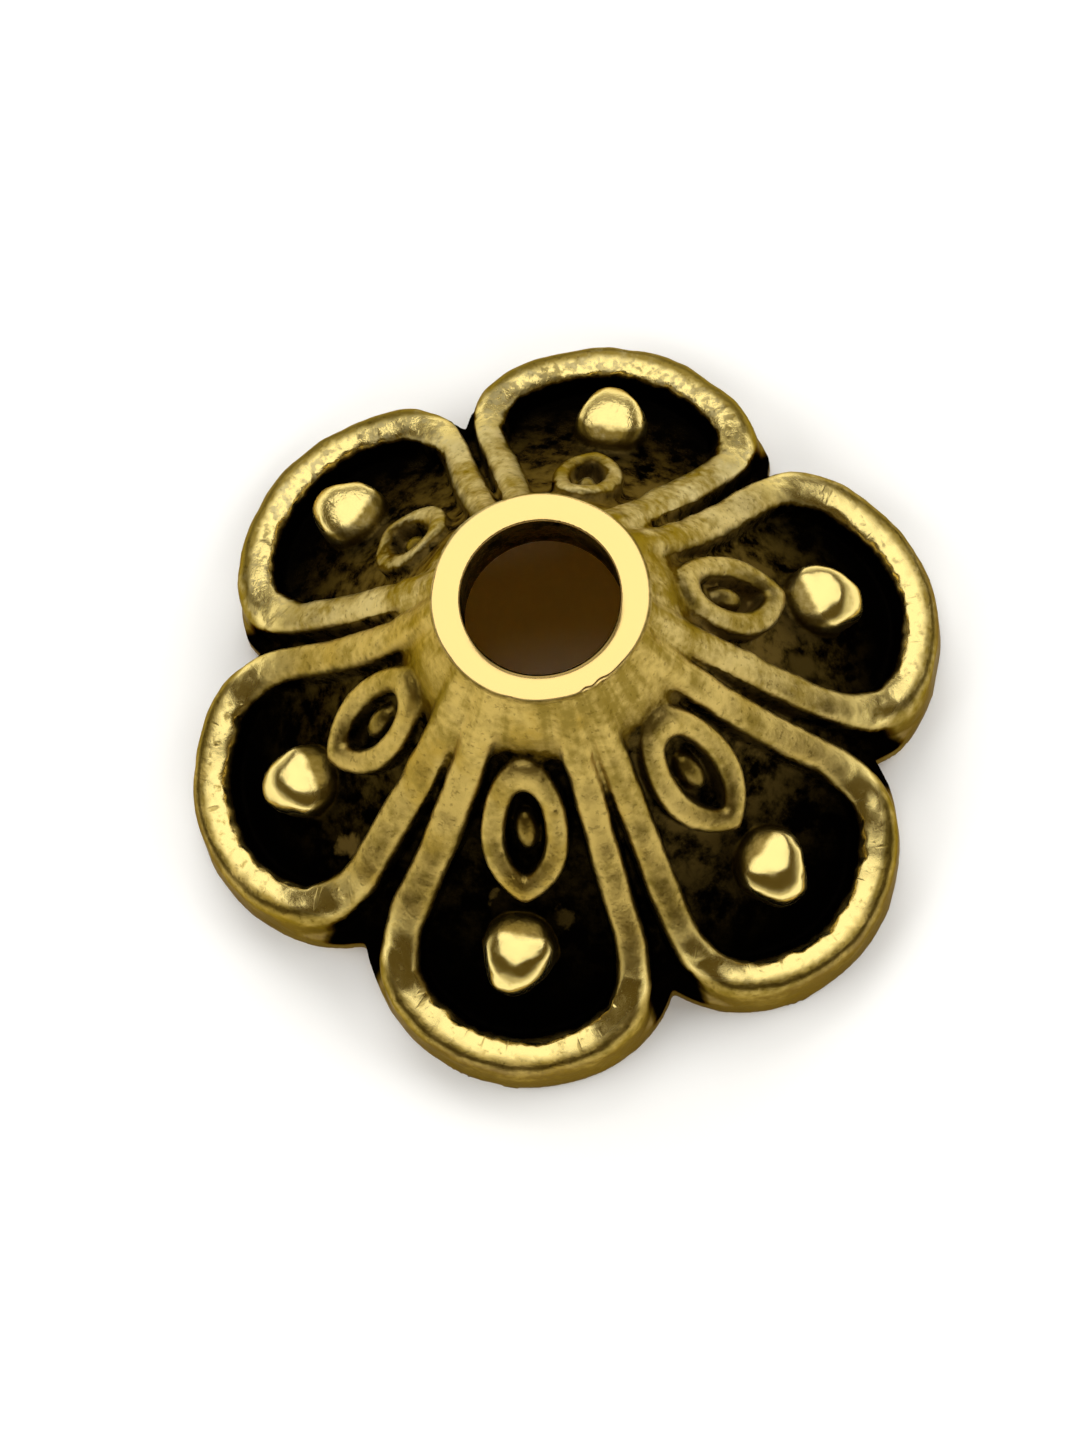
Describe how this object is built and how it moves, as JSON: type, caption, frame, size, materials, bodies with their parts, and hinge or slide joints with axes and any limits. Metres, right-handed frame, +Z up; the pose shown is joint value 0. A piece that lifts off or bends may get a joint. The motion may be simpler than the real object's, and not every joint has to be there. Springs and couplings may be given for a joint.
{
  "type": "bead cap",
  "caption": "Cast metal bead cap: a flared cap with ridged, drooping petals, each with a granule and an almond ring, and a flat collar round the bore.",
  "frame": {"origin": "on the axis, at the plane that the petal tips rest on", "axes": "+Z up along the bore to the collar; one petal points along +Y and one along -Y"},
  "size_m": [0.0092, 0.01, 0.0049],
  "materials": {
    "antique_gold": "cast, dark patina in the recesses, polished high points"
  },
  "bodies": {
    "root": {"bead_cap": "antique_gold"}
  },
  "joints": []
}
